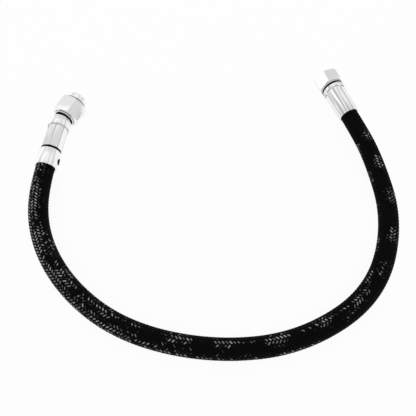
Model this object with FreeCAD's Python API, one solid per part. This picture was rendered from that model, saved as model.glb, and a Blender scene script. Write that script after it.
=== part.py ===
import FreeCAD, Part
import math
import os

# A flexible pressure hose: a rubber liner in a woven textile braid, with a crimped fitting at each end.
# One fitting ends in a ball swivel with a hexagonal female nut, the other in a hexagonal union nut.
# The hose lies in a U on a flat surface at height 0. Millimetres, +Z up, the U opens towards +Y.

# Hose section
hose_radius = 7.0
braid_thickness = 1.0
bore_radius = 3.25

# Crimp of both fittings on the hose
crimp_squeeze = 0.6
crimp_taper = 2.0
jaw_count = 8
first_ridge_angle = 11.25
bite_groove_count = 3
bite_groove_width = 1.2
bite_groove_depth = 0.25
bite_groove_pitch = 3.0

# Barbed tails, the same at both ends
passage_radius = 2.25
barb_count = 3
barb_height = 0.15
barb_pitch = 3.0
tail_tip_chamfer = 0.7
lock_flange = 2.0

# Both hexagonal nuts
hex_face_land = 0.2
hex_chamfer_angle = 30.0
nut_collar_length = 0.9

# Collar and its plug, at the swivel's end
collar_length = 15.0
collar_clearance = 0.2
collar_mouth_wall = 1.1
collar_end_wall = 0.7
collar_edge = 0.4
plug_station = 7.8
plug_angle = 109.0
plug_radius = 2.3
plug_head_overlap = 0.4
plug_head_height = 0.45
collar_ring_length = 2.2
collar_ring_wall = 0.7

# Swivel's ferrule
swivel_crimp_length = 12.6
swivel_flat_wall = 1.05
swivel_ridge_wall = 1.6
swivel_jaw_half_width = 2.8
swivel_band_wall = 1.35
swivel_band_ramp = 0.8
swivel_front_chamfer = 0.5
swivel_rim_length = 1.4
swivel_rim_wall = 1.05
rolled_lip = 0.7
rolled_lip_overlap = 0.6

# Ball joint
ball_radius = 5.2
ball_clearance = 0.2
cup_wall = 1.6
cup_floor = 4.0
cup_depth = 5.0
cup_rim = 0.2
lock_step = 1.35
retainer_thickness = 1.6
seal_inner_radius = 2.9
seal_width = 1.4
seal_groove_depth = 6.0
seal_clearance = 0.3
stud_passage_radius = 1.6
stud_neck_wall = 1.4
stud_shank_length = 6.3
rest_tilt = 17.0

# Dust ring, swivel nut and its nose
swing_gap = 2.1
dust_ring_length = 2.1
dust_ring_radius = 5.6
neck_clearance = 0.05
face_clearance = 0.1
swivel_across_flats = 20.0
swivel_hex_length = 15.7
swivel_collar_radius = 7.9
nose_radius = 7.3
nose_length = 6.0
nose_chamfer = 0.7
nose_groove_length = 1.2
nose_groove_depth = 1.3
nose_ring_stand = 0.1
nose_passage_radius = 2.2
port_radius = 4.283
port_length = 8.0
port_mouth_chamfer = 0.6

# Union nut's ferrule
union_bell_length = 8.2
union_bell_clearance = 0.08
union_bell_wall = 0.42
union_crimp_length = 16.6
union_flat_rise = 0.6
union_ridge_mouth_radius = 7.95
union_ridge_rise = 0.6
union_jaw_half_width = 2.7
union_band_radius = 9.0
union_band_ramp = 1.3
union_edge = 0.3
union_front_chamfer = 0.5
union_end_wall = 4.4
union_flat_band = 3.6

# Union nut and the stem that it turns on
union_neck_radius = 4.5
union_lock_radius = 3.9
union_ring_length = 1.4
union_ring_radius = 9.0
union_back_wall = 3.2
union_bore_clearance = 0.08
union_face_gap = 0.1
union_across_flats = 19.0
union_hex_length = 12.1
union_collar_radius = 8.8
union_head_radius = 5.5
union_head_length = 2.8
union_head_gap = 0.1
union_thread_radius = 5.72
union_relief_depth = 0.9
union_relief_length = 3.3
union_mouth_chamfer = 0.5
seat_groove_radius = 3.1
seat_groove_width = 1.4
seat_groove_depth = 1.0
seat_ring_stand = 0.15

# Route of the hose's centreline, from the swivel's crimp to the union nut's crimp
hose_height = hose_radius
swivel_height = swivel_across_flats / 2
union_height = union_across_flats / 2
route_points = [
    (-127.2, 51.8, swivel_height),
    (-131.0, 8.4, swivel_height),
    (-125.6, -35.0, hose_height + 0.4),
    (-98.9, -73.6, hose_height),
    (-56.9, -102.1, hose_height),
    (0.6, -114.1, hose_height),
    (57.6, -108.1, hose_height),
    (109.6, -77.1, hose_height),
    (132.6, -23.6, hose_height),
    (128.9, 31.9, hose_height + 0.5),
    (118.3, 65.9, union_height),
    (108.0, 98.4, union_height),
]
arc_share = 0.45

# Sizes that follow from those above
crimped_radius = hose_radius - crimp_squeeze
liner_radius = hose_radius - braid_thickness
crimped_liner_radius = liner_radius - crimp_squeeze
cavity_radius = ball_radius + ball_clearance
cup_radius = cavity_radius + cup_wall
neck_radius = stud_passage_radius + stud_neck_wall
tool_reach = 3 * hose_radius

# Stations along the swivel's ferrule, from the collar's mouth
ring_start = collar_length
swivel_ferrule_start = ring_start + collar_ring_length
swivel_crimp_start = swivel_ferrule_start + crimp_taper
swivel_hose_end = swivel_crimp_start + swivel_crimp_length
swivel_shoulder = swivel_hose_end + lock_flange
pivot_station = swivel_shoulder + cup_floor + cavity_radius
cup_step = pivot_station - cup_depth
cup_front = pivot_station + cup_rim
lip_start = cup_front + retainer_thickness
lip_end = lip_start + rolled_lip
swivel_ferrule_end = lip_end + swivel_rim_length

# Stations along the swivel nut, from the ball's centre
dust_ring_start = lip_end - pivot_station + swing_gap
swivel_nut_start = dust_ring_start + dust_ring_length + face_clearance
swivel_hex_start = swivel_nut_start + nut_collar_length
swivel_hex_end = swivel_hex_start + swivel_hex_length
nose_start = swivel_hex_end + nose_groove_length
nose_end = nose_start + nose_length
port_start = nose_end - port_mouth_chamfer - port_length
shank_end = swivel_hex_start + stud_shank_length

# Stations along the union nut's ferrule, from its mouth
union_crimp_start = union_bell_length + crimp_taper
union_hose_end = union_crimp_start + union_crimp_length
union_lock_end = union_hose_end + lock_flange
union_ferrule_end = union_hose_end + union_end_wall
union_ring_end = union_ferrule_end + union_ring_length
union_nut_start = union_ring_end + union_face_gap
union_hex_start = union_nut_start + nut_collar_length
union_nut_end = union_hex_start + union_hex_length
union_cavity_start = union_nut_start + union_back_wall
union_head_start = union_cavity_start + union_head_gap
union_head_end = union_head_start + union_head_length
union_thread_start = union_cavity_start + union_relief_length
union_flat_end = union_ferrule_end - union_flat_band


def turned(profile):
    """Solid of revolution about local Z from corners of radius and station."""
    corners = [FreeCAD.Vector(radius, 0, station) for radius, station in profile]
    face = Part.Face(Part.makePolygon(corners + corners[:1]))
    return face.revolve(FreeCAD.Vector(0, 0, 0), FreeCAD.Vector(0, 0, 1), 360)


def sleeve(outer, inner, start, end):
    """Plain ring between two radii and two stations."""
    return turned([(inner, start), (outer, start), (outer, end), (inner, end)])


def rod(radius, start, end):
    """Plain round bar between two stations."""
    return Part.makeCylinder(radius, end - start, FreeCAD.Vector(0, 0, start))


def ball_at(radius, station):
    """Ball centred on the axis."""
    return Part.makeSphere(radius, FreeCAD.Vector(0, 0, station))


def turn(shape, degrees):
    """Copy of a shape, turned about local Z from up towards the right."""
    copy = shape.copy()
    copy.rotate(FreeCAD.Vector(0, 0, 0), FreeCAD.Vector(0, 0, 1), degrees)
    return copy


def end_frame(origin, heading):
    """Placement with local Z along a level heading and local X up."""
    ahead = FreeCAD.Vector(math.cos(heading), math.sin(heading), 0)
    up = FreeCAD.Vector(0, 0, 1)
    side = ahead.cross(up)
    return FreeCAD.Matrix(
        up.x, side.x, ahead.x, origin.x,
        up.y, side.y, ahead.y, origin.y,
        up.z, side.z, ahead.z, origin.z,
        0, 0, 0, 1,
    )


def heading_of(tail, tip):
    """Level heading, in radians, of the way from one point to the next."""
    return math.atan2(tip.y - tail.y, tip.x - tail.x)


def hex_nut_blank(across_flats, collar_radius, start, end):
    """Hexagonal prism with its edges chamfered at both faces, and a short round collar behind it."""
    face_radius = across_flats / 2 - hex_face_land
    corner_radius = across_flats / 2 / math.cos(math.radians(30))
    corners = []
    for index in range(6):
        angle = math.radians(30 + 60 * index)
        corners.append(FreeCAD.Vector(corner_radius * math.cos(angle), corner_radius * math.sin(angle), start))
    prism = Part.Face(Part.makePolygon(corners + corners[:1])).extrude(FreeCAD.Vector(0, 0, end - start))
    reach = corner_radius + 1
    drop = (reach - face_radius) * math.tan(math.radians(hex_chamfer_angle))
    envelope = turned([
        (0, start), (face_radius, start), (reach, start + drop),
        (reach, end - drop), (face_radius, end), (0, end),
    ])
    return prism.common(envelope).fuse(rod(collar_radius, start - nut_collar_length, start))


def jaw_cutter(apothem, half_width, start, end, rise=0):
    """Tool that presses one crimp flat with a round far end, leaning outwards by its rise."""
    round_centre = end - half_width
    near_left = FreeCAD.Vector(apothem, -half_width, start)
    near_right = FreeCAD.Vector(apothem, half_width, start)
    far_left = FreeCAD.Vector(apothem, -half_width, round_centre)
    far_right = FreeCAD.Vector(apothem, half_width, round_centre)
    outline = Part.Wire([
        Part.LineSegment(near_left, near_right).toShape(),
        Part.LineSegment(near_right, far_right).toShape(),
        Part.Arc(far_right, FreeCAD.Vector(apothem, 0, end), far_left).toShape(),
        Part.LineSegment(far_left, near_left).toShape(),
    ])
    cutter = Part.Face(outline).extrude(FreeCAD.Vector(tool_reach, 0, 0))
    lean = math.degrees(math.atan2(rise, end - start))
    cutter.rotate(FreeCAD.Vector(apothem, 0, start), FreeCAD.Vector(0, 1, 0), lean)
    return cutter


def crimped(blank, cutter):
    """Ferrule blank pressed by a ring of jaws, ridges left between them."""
    step = 360 / jaw_count
    for index in range(jaw_count):
        blank = blank.cut(turn(cutter, first_ridge_angle + step * (index + 0.5)))
    return blank


def bite_grooves(last_station):
    """Rings cut in a ferrule's bore, for the crimped hose to bulge into."""
    grooves = []
    for index in range(bite_groove_count):
        end = last_station - bite_groove_pitch * (index + 0.5)
        grooves.append(sleeve(crimped_radius + bite_groove_depth, crimped_radius - 1, end - bite_groove_width, end))
    return grooves


def barbed_tail(tip, shoulder):
    """Outline of a tail with barbs that point away from its tip, from bore to shoulder."""
    outline = [(passage_radius, tip), (bore_radius - tail_tip_chamfer, tip), (bore_radius, tip + tail_tip_chamfer)]
    first = (tip + shoulder) / 2 - barb_pitch * barb_count / 2
    for index in range(barb_count):
        start = first + barb_pitch * index
        outline += [(bore_radius, start), (bore_radius + barb_height, start + barb_pitch * 0.7)]
        outline.append((bore_radius, start + barb_pitch * 0.7))
    outline.append((bore_radius, shoulder))
    return outline


def straight(start, end):
    """Straight edge between two points, or none where they meet."""
    if start.isEqual(end, 1e-6):
        return []
    return [Part.LineSegment(start, end).toShape()]


def route_edges(points, start_trim, end_trim):
    """Straight runs joined by tangent arcs, trimmed at both ends, and each arc's radius.

    The first and last arcs stop where the trimmed stretches begin, so that the hose enters both crimps straight.
    """
    edges = []
    radii = []
    last_corner = len(points) - 2
    here = points[0] + (points[1] - points[0]).normalize() * start_trim
    for index in range(1, last_corner + 1):
        corner = points[index]
        incoming = corner - points[index - 1]
        outgoing = points[index + 1] - corner
        reach = arc_share * min(incoming.Length, outgoing.Length)
        if index == 1:
            reach = min(reach, incoming.Length - start_trim)
        if index == last_corner:
            reach = min(reach, outgoing.Length - end_trim)
        half_turn = incoming.getAngle(outgoing) / 2
        radius = reach / math.tan(half_turn)
        incoming.normalize()
        outgoing.normalize()
        arc_start = corner - incoming * reach
        arc_end = corner + outgoing * reach
        inward = (outgoing - incoming).normalize()
        arc_middle = corner + inward * (radius / math.cos(half_turn) - radius)
        edges += straight(here, arc_start)
        edges.append(Part.Arc(arc_start, arc_middle, arc_end).toShape())
        radii.append(round(radius, 1))
        here = arc_end
    last = points[-1] - (points[-1] - points[-2]).normalize() * end_trim
    edges += straight(here, last)
    return edges, radii


def swept_ring(edges, outer, inner):
    """Tube of a ring section along the route; prints its volume and its section times length."""
    path = Part.Wire(edges)
    start = path.OrderedVertexes[0].Point
    ahead = edges[0].tangentAt(edges[0].FirstParameter)
    rings = [Part.Wire(Part.makeCircle(radius, start, ahead)) for radius in (outer, inner)]
    face = Part.Face(rings[:1]).cut(Part.Face(rings[1:]))
    tube = path.makePipe(face.Faces[0])
    expected = math.pi * (outer ** 2 - inner ** 2) * path.Length
    print("tube volume", round(tube.Volume), "section times length", round(expected), "length", round(path.Length, 1))
    return tube


def hose_end(outer, inner, crimped_outer, crimped_inner, crimp_length):
    """End of a hose layer in a ferrule, squeezed in a short taper; the hose's cut end is at station 0."""
    squeeze_end = -crimp_length
    squeeze_start = squeeze_end - crimp_taper
    return turned([
        (crimped_inner, 0), (crimped_inner, squeeze_end), (inner, squeeze_start),
        (outer, squeeze_start), (crimped_outer, squeeze_end), (crimped_outer, 0),
    ])


def hose_layer(edges, outer, inner, crimped_outer, crimped_inner):
    """One layer of the hose, from cut end to cut end."""
    layer = swept_ring(edges, outer, inner)
    for frame, crimp_length in ((swivel_hose_frame, swivel_crimp_length), (union_hose_frame, union_crimp_length)):
        end = hose_end(outer, inner, crimped_outer, crimped_inner, crimp_length)
        layer = layer.fuse(end.transformed(frame))
    return layer.removeSplitter()


def swivel_end_pieces():
    """Pieces fixed to the hose at the swivel's end, in the frame of the collar's mouth."""
    pieces = {}
    bore = hose_radius + collar_clearance
    collar_profile = [
        (bore, 0), (bore + collar_mouth_wall - collar_edge, 0), (bore + collar_mouth_wall, collar_edge),
        (bore + collar_end_wall, collar_length), (bore, collar_length),
    ]
    collar = turned(collar_profile)
    plug_axis = FreeCAD.Vector(1, 0, 0)
    plug_centre = FreeCAD.Vector(0, 0, plug_station)
    body_bar = turn(Part.makeCylinder(plug_radius, tool_reach, plug_centre, plug_axis), plug_angle)
    head_bar = turn(Part.makeCylinder(plug_radius + plug_head_overlap, tool_reach, plug_centre, plug_axis), plug_angle)
    head_shell = turned([
        (bore + collar_mouth_wall, collar_edge), (bore + collar_mouth_wall + plug_head_height, collar_edge),
        (bore + collar_end_wall + plug_head_height, collar_length), (bore + collar_end_wall, collar_length),
    ])
    pieces["hole_plug"] = collar.common(body_bar).fuse(head_shell.common(head_bar)).removeSplitter()
    pieces["collar"] = collar.cut(body_bar)
    ring_radius = hose_radius + collar_ring_wall
    pieces["collar_ring"] = sleeve(ring_radius, hose_radius, ring_start, swivel_ferrule_start)

    flat_radius = crimped_radius + swivel_flat_wall
    ridge_radius = crimped_radius + swivel_ridge_wall
    band_radius = cup_radius + swivel_band_wall
    lip_radius = cup_radius - rolled_lip_overlap
    rim_radius = band_radius - swivel_rim_wall
    lock_radius = bore_radius + lock_step
    blank = turned([
        (hose_radius, swivel_ferrule_start), (ridge_radius - collar_edge, swivel_ferrule_start),
        (ridge_radius, swivel_ferrule_start + collar_edge), (ridge_radius, cup_step - swivel_band_ramp),
        (band_radius, cup_step), (band_radius, swivel_ferrule_end - swivel_front_chamfer),
        (band_radius - swivel_front_chamfer, swivel_ferrule_end), (rim_radius, swivel_ferrule_end),
        (rim_radius, lip_end), (lip_radius, lip_end), (lip_radius, lip_start),
        (cup_radius, lip_start), (cup_radius, cup_step), (crimped_radius, cup_step),
        (crimped_radius, swivel_shoulder), (lock_radius, swivel_shoulder), (lock_radius, swivel_hose_end),
        (crimped_radius, swivel_hose_end), (crimped_radius, swivel_crimp_start),
    ])
    for groove in bite_grooves(swivel_hose_end):
        blank = blank.cut(groove)
    cutter = jaw_cutter(flat_radius, swivel_jaw_half_width, 0, cup_step)
    pieces["swivel_ferrule"] = crimped(blank, cutter)

    stem = turned(barbed_tail(swivel_crimp_start, swivel_hose_end) + [
        (lock_radius, swivel_hose_end), (lock_radius, swivel_shoulder), (crimped_radius, swivel_shoulder),
        (crimped_radius, cup_step), (cup_radius, cup_step), (cup_radius, cup_front), (passage_radius, cup_front),
    ])
    stem = stem.cut(ball_at(cavity_radius, pivot_station))
    seal_start = pivot_station - seal_groove_depth
    seal_blank = sleeve(seal_inner_radius + seal_width, seal_inner_radius, seal_start, pivot_station)
    pieces["swivel_stem"] = stem.cut(seal_blank)
    pieces["ball_seal"] = seal_blank.cut(ball_at(ball_radius + seal_clearance, pivot_station))
    retainer = rod(cup_radius, cup_front, lip_start).fuse(rod(lip_radius, lip_start, lip_end))
    pieces["ball_retainer"] = retainer.removeSplitter().cut(ball_at(cavity_radius, pivot_station))
    return pieces


def dust_ring_piece():
    """Soft ring behind the swivel nut, in the frame of the ball's centre."""
    end = dust_ring_start + dust_ring_length
    return sleeve(dust_ring_radius, neck_radius + neck_clearance, dust_ring_start, end)


def swivel_nut_pieces():
    """Ball stud, hexagonal nut and nose ring, in the frame of the ball's centre."""
    ball = ball_at(ball_radius, 0).fuse(rod(neck_radius, 0, shank_end)).removeSplitter()
    stud = ball.cut(rod(stud_passage_radius, -ball_radius, shank_end))

    groove_radius = nose_radius - nose_groove_depth
    nose = turned([
        (0, swivel_hex_end), (groove_radius, swivel_hex_end), (groove_radius, nose_start), (nose_radius, nose_start),
        (nose_radius, nose_end - nose_chamfer), (nose_radius - nose_chamfer, nose_end), (0, nose_end),
    ])
    inside = turned([
        (0, swivel_nut_start), (neck_radius, swivel_nut_start), (neck_radius, shank_end),
        (nose_passage_radius, shank_end), (nose_passage_radius, port_start), (port_radius, port_start),
        (port_radius, nose_end - port_mouth_chamfer), (port_radius + port_mouth_chamfer, nose_end), (0, nose_end),
    ])
    blank = hex_nut_blank(swivel_across_flats, swivel_collar_radius, swivel_hex_start, swivel_hex_end)
    nut = blank.fuse(nose).cut(inside).removeSplitter()
    ring = sleeve(nose_radius + nose_ring_stand, groove_radius, swivel_hex_end, nose_start)
    return {"ball_stud": stud, "swivel_nut": nut, "nose_ring": ring}


def union_end_pieces():
    """Pieces fixed to the hose at the union nut's end, in the frame of the ferrule's mouth."""
    pieces = {}
    bell_radius = hose_radius + union_bell_clearance
    flat_radius = bell_radius + union_bell_wall
    ridge_end_radius = union_ridge_mouth_radius + union_ridge_rise
    blank = turned([
        (bell_radius, 0), (union_ridge_mouth_radius - union_edge, 0), (union_ridge_mouth_radius, union_edge),
        (ridge_end_radius, union_flat_end - union_band_ramp), (union_band_radius, union_flat_end),
        (union_band_radius, union_ferrule_end - union_front_chamfer),
        (union_band_radius - union_front_chamfer, union_ferrule_end), (union_neck_radius, union_ferrule_end),
        (union_neck_radius, union_lock_end), (union_lock_radius, union_lock_end), (union_lock_radius, union_hose_end),
        (crimped_radius, union_hose_end), (crimped_radius, union_crimp_start), (hose_radius, union_bell_length),
        (bell_radius, union_bell_length),
    ])
    for groove in bite_grooves(union_hose_end):
        blank = blank.cut(groove)
    cutter = jaw_cutter(flat_radius, union_jaw_half_width, -1, union_flat_end, union_flat_rise)
    pieces["nut_ferrule"] = crimped(blank, cutter)
    pieces["ferrule_ring"] = sleeve(union_ring_radius, union_neck_radius, union_ferrule_end, union_ring_end)

    stem = turned(barbed_tail(union_crimp_start, union_hose_end) + [
        (union_lock_radius, union_hose_end), (union_lock_radius, union_lock_end), (union_neck_radius, union_lock_end),
        (union_neck_radius, union_head_start), (union_head_radius, union_head_start),
        (union_head_radius, union_head_end), (passage_radius, union_head_end),
    ])
    groove_outer = seat_groove_radius + seat_groove_width
    groove = sleeve(groove_outer, seat_groove_radius, union_head_end - seat_groove_depth, union_head_end)
    pieces["nut_stem"] = stem.cut(groove)
    seat_end = union_head_end + seat_ring_stand
    pieces["stem_seal"] = sleeve(groove_outer, seat_groove_radius, union_head_end - seat_groove_depth, seat_end)
    return pieces


def union_nut_piece():
    """Hexagonal union nut that turns on the stem's neck, in the frame of its ferrule's mouth."""
    bore = union_neck_radius + union_bore_clearance
    relief = union_thread_radius + union_relief_depth
    inside = turned([
        (0, union_nut_start), (bore, union_nut_start), (bore, union_cavity_start), (relief, union_cavity_start),
        (relief, union_thread_start), (union_thread_radius, union_thread_start),
        (union_thread_radius, union_nut_end - union_mouth_chamfer),
        (union_thread_radius + union_mouth_chamfer, union_nut_end), (0, union_nut_end),
    ])
    blank = hex_nut_blank(union_across_flats, union_collar_radius, union_hex_start, union_nut_end)
    return blank.cut(inside).removeSplitter()


def export(name, shape):
    """Writes one piece, and says how large it is."""
    if shape.ShapeType != "Solid" and len(shape.Solids) == 1:
        shape = shape.Solids[0]
    shape.exportStep("parts/" + name + ".step")
    box = shape.optimalBoundingBox()
    print(name, "valid", shape.isValid(), "solids", len(shape.Solids), "volume", round(shape.Volume, 1),
          "x", round(box.XMin, 2), round(box.XMax, 2), "y", round(box.YMin, 2), round(box.YMax, 2),
          "z", round(box.ZMin, 2), round(box.ZMax, 2))


route = [FreeCAD.Vector(*point) for point in route_points]
swivel_heading = heading_of(route[1], route[0])
union_heading = heading_of(route[-2], route[-1])
swivel_ahead = FreeCAD.Vector(math.cos(swivel_heading), math.sin(swivel_heading), 0)
union_ahead = FreeCAD.Vector(math.cos(union_heading), math.sin(union_heading), 0)
swivel_hose_frame = end_frame(route[0], swivel_heading)
union_hose_frame = end_frame(route[-1], union_heading)
swivel_frame = end_frame(route[0] - swivel_ahead * swivel_hose_end, swivel_heading)
union_frame = end_frame(route[-1] - union_ahead * union_hose_end, union_heading)
ball_centre = route[0] + swivel_ahead * (pivot_station - swivel_hose_end)
nut_heading = swivel_heading - math.radians(rest_tilt)
nut_frame = end_frame(ball_centre, nut_heading)

free_route, bend_radii = route_edges(route, swivel_crimp_length + crimp_taper, union_crimp_length + crimp_taper)
print("bend radii", bend_radii)

os.makedirs("parts", exist_ok=True)
model = {
    "hose_liner": hose_layer(free_route, liner_radius, bore_radius, crimped_liner_radius, bore_radius),
    "hose_braid": hose_layer(free_route, hose_radius, liner_radius, crimped_radius, crimped_liner_radius),
}
for node, piece in swivel_end_pieces().items():
    model[node] = piece.transformed(swivel_frame)
model["dust_ring"] = dust_ring_piece().transformed(nut_frame)
for node, piece in swivel_nut_pieces().items():
    model[node] = piece.transformed(nut_frame)
for node, piece in union_end_pieces().items():
    model[node] = piece.transformed(union_frame)
model["union_nut"] = union_nut_piece().transformed(union_frame)
for node, piece in model.items():
    export(node, piece)
print("ball centre", ball_centre, "nut heading", round(math.degrees(nut_heading), 3))
nut_ahead = FreeCAD.Vector(math.cos(nut_heading), math.sin(nut_heading), 0)
print("port middle", ball_centre + nut_ahead * (port_start + port_length / 2))
thread_middle = (union_thread_start + union_nut_end - union_mouth_chamfer) / 2 - union_hose_end
print("union thread middle", route[-1] + union_ahead * thread_middle, "heading", round(math.degrees(union_heading), 3),
      "length", round(union_nut_end - union_mouth_chamfer - union_thread_start, 3))
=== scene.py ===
"""Dresses the braided flexible hose: its woven cover, crimped chrome fittings, swivel, nuts, threads and rings.

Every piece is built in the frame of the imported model, in metres, and rides on the body that carries it.
"""

import logging
import math
from dataclasses import dataclass, field, replace
from enum import Enum
from typing import Callable, Iterable, Optional, Sequence, Union

import bmesh
import bpy
import numpy as np
from mathutils import Matrix, Vector

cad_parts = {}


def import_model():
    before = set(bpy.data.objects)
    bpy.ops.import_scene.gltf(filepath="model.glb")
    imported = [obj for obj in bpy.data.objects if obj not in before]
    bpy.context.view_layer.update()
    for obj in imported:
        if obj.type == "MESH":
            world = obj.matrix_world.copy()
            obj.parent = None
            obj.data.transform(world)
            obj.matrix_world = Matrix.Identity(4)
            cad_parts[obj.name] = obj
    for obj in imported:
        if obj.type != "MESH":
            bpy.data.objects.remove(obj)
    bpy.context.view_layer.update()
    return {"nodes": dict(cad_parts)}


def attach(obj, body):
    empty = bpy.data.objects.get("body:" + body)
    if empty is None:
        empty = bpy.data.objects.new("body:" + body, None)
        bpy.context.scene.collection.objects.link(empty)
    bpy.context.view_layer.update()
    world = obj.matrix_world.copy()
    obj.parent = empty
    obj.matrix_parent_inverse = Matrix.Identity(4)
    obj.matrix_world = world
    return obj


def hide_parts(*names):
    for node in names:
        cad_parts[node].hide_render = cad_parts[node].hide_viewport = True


LOG = logging.getLogger("hose")
MM = 0.001
WELD = 1e-4  # vertices of one corner lie within this of each other
UV_LENGTH = 10  # millimetres of a plait to one unit of its UV map
SLIVER = 0.02  # shorter edges that the jaws leave are merged away
# Strengths of painted shade: the crimp ridges and the ends of the flats are darkened for the dark that their
# steep walls reflect, and the corner behind a nut's hexagon for the shade that falls there.
RIDGE_SHADE = 0.35
ARC_SHADE = 0.45
CORNER_SHADE = 0.8
Piece = bpy.types.Object
Tree = bpy.types.NodeTree
Node = bpy.types.Node
Socket = bpy.types.NodeSocket
Profile = Sequence[tuple[float, float]]
Place = tuple[float, float, float]
Feed = Union[Socket, float, Sequence[float]]
Feeds = dict[Union[str, int], Feed]


class Body(Enum):
    """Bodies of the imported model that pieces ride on."""

    HOSE = "hose_assembly"
    RING = "tilting_ring"
    SWIVEL = "swivel_end"
    UNION = "union_end"


class Slot(Enum):
    """Material slots of the record."""

    BRAID = "textile_braid"
    LINER = "liner_rubber"
    CHROME = "chrome"
    STEEL = "turned_steel"
    RUBBER = "black_rubber"
    PLASTIC = "black_plastic"


class Weave(Enum):
    """The two ways in which plaits wind round the hose."""

    CLOCKWISE = 1
    COUNTER = -1


@dataclass(frozen=True)
class Axis:
    """Level line that a fitting is turned about.

    Attributes:
        origin: point at station 0, in millimetres.
        heading: direction of growing stations, in degrees from +X.
    """

    origin: Place
    heading: float

    def matrix(self) -> Matrix:
        """Turns local millimetres, X up and Z ahead, into the model's metres.

        Returns:
            The turn, move and change of scale.
        """
        angle = math.radians(self.heading)
        ahead = Vector((math.cos(angle), math.sin(angle), 0))
        up = Vector((0, 0, 1))
        side = ahead.cross(up)
        turn = Matrix((up, side, ahead)).transposed().to_4x4()
        return Matrix.Translation(Vector(self.origin) * MM) @ turn @ Matrix.Scale(MM, 4)


def deselect_all() -> None:
    """Leaves edit mode and selects nothing."""
    if bpy.context.object and bpy.context.object.mode != "OBJECT":
        bpy.ops.object.mode_set(mode="OBJECT")
    bpy.ops.object.select_all(action="DESELECT")


def activate(piece: Piece) -> None:
    """Makes one object the only selected one and the active one.

    Args:
        piece: object to work on.
    """
    deselect_all()
    piece.select_set(True)
    bpy.context.view_layer.objects.active = piece


def apply_modifier(piece: Piece, kind: str, **values: object) -> None:
    """Adds a modifier, sets its values and applies it.

    Args:
        piece: object that takes the modifier.
        kind: modifier type, such as BEVEL.
        values: settings of the modifier.
    """
    activate(piece)
    modifier = piece.modifiers.new(kind.lower(), kind)
    for name, value in values.items():
        setattr(modifier, name, value)
    bpy.ops.object.modifier_apply(modifier=modifier.name)


def clean(piece: Piece, merge: float = 0.0, fill: bool = False) -> None:
    """Merges close vertices, fills open loops and points the faces outwards.

    Args:
        piece: object to clean.
        merge: distance within which vertices merge, or 0 for none.
        fill: whether open loops are filled.
    """
    activate(piece)
    bpy.ops.object.mode_set(mode="EDIT")
    bpy.ops.mesh.select_all(action="SELECT")
    if merge:
        bpy.ops.mesh.remove_doubles(threshold=merge)
    if fill:
        bpy.ops.mesh.fill_holes(sides=0)
    bpy.ops.mesh.normals_make_consistent(inside=False)
    bpy.ops.object.mode_set(mode="OBJECT")


def select_by(piece: Piece, test: Callable[[Vector], bool], what: str) -> None:
    """Selects the vertices or edges whose middle passes a test, in edit mode.

    Args:
        piece: object in edit mode.
        test: says whether a spot is wanted.
        what: VERT or EDGE.
    """
    bpy.ops.mesh.select_mode(type=what)
    bpy.ops.mesh.select_all(action="DESELECT")
    mesh = bmesh.from_edit_mesh(piece.data)
    for item in mesh.verts if what == "VERT" else mesh.edges:
        middle = item.co if what == "VERT" else (item.verts[0].co + item.verts[1].co) / 2
        if test(middle):
            item.select_set(True)
    mesh.select_flush_mode()
    bmesh.update_edit_mesh(piece.data)


def turned(name: str, profile: Profile, segments: int = 128, closed: bool = True) -> Piece:
    """Turns a solid about local Z by extruding and sizing one ring from corner to corner.

    Args:
        name: name of the new object.
        profile: corners of radius and station, in millimetres.
        segments: sides of the ring.
        closed: whether the outline runs back to its first corner, as on a ring with a bore.

    Returns:
        The new object, still in local millimetres.
    """
    deselect_all()
    corners = list(profile) + ([profile[0]] if closed else [])
    radius, station = corners[0]
    fill = "NOTHING" if closed else "NGON"
    bpy.ops.mesh.primitive_circle_add(vertices=segments, radius=radius, fill_type=fill)
    piece = bpy.context.object
    piece.name = name
    bpy.ops.object.mode_set(mode="EDIT")
    bpy.ops.mesh.select_all(action="SELECT")
    bpy.ops.transform.translate(value=(0, 0, station))
    for next_radius, next_station in corners[1:]:
        bpy.ops.mesh.extrude_region_move(TRANSFORM_OT_translate={"value": (0, 0, next_station - station)})
        scale = next_radius / radius
        bpy.ops.transform.resize(value=(scale, scale, 1), center_override=(0, 0, next_station))
        radius, station = next_radius, next_station
    clean(piece, merge=WELD)
    return piece


def cut(piece: Piece, tool: Piece, operation: str = "DIFFERENCE") -> None:
    """Cuts one object by another, and removes the tool.

    Args:
        piece: object that is cut.
        tool: object that cuts.
        operation: DIFFERENCE or INTERSECT.
    """
    apply_modifier(piece, "BOOLEAN", object=tool, operation=operation, solver="EXACT")
    bpy.data.objects.remove(tool, do_unlink=True)


def join(pieces: Sequence[Piece]) -> Piece:
    """Joins objects into the first one.

    Args:
        pieces: objects to join.

    Returns:
        The joined object.
    """
    activate(pieces[0])
    for piece in pieces:
        piece.select_set(True)
    bpy.ops.object.join()
    return pieces[0]


def place(piece: Piece, axis: Axis, smooth_angle: float = 32) -> None:
    """Moves a finished piece from local millimetres to its place, with its object at the origin.

    Args:
        piece: object in local millimetres.
        axis: line that it is turned about.
        smooth_angle: edges flatter than this are shaded smooth, in degrees.
    """
    activate(piece)
    piece.data.transform(axis.matrix())
    piece.data.update()
    bpy.ops.object.shade_smooth_by_angle(angle=math.radians(smooth_angle))


@dataclass(frozen=True)
class GroupSocket:
    """One socket of a shader node group."""

    name: str
    kind: str
    incoming: bool = True
    default: Optional[object] = None


class ShaderGroup:
    """A shared surface effect, built once as a node group and placed in each material."""

    def __init__(self, name: str, sockets: Iterable[GroupSocket]) -> None:
        """Makes the group with its sockets.

        Args:
            name: name of the group.
            sockets: its inputs and outputs.
        """
        self.tree = bpy.data.node_groups.new(name, "ShaderNodeTree")
        for socket in sockets:
            way = "INPUT" if socket.incoming else "OUTPUT"
            made = self.tree.interface.new_socket(name=socket.name, in_out=way, socket_type=socket.kind)
            if socket.default is not None:
                made.default_value = socket.default
        self.given = self.tree.nodes.new("NodeGroupInput").outputs
        self.result = self.tree.nodes.new("NodeGroupOutput")


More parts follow.
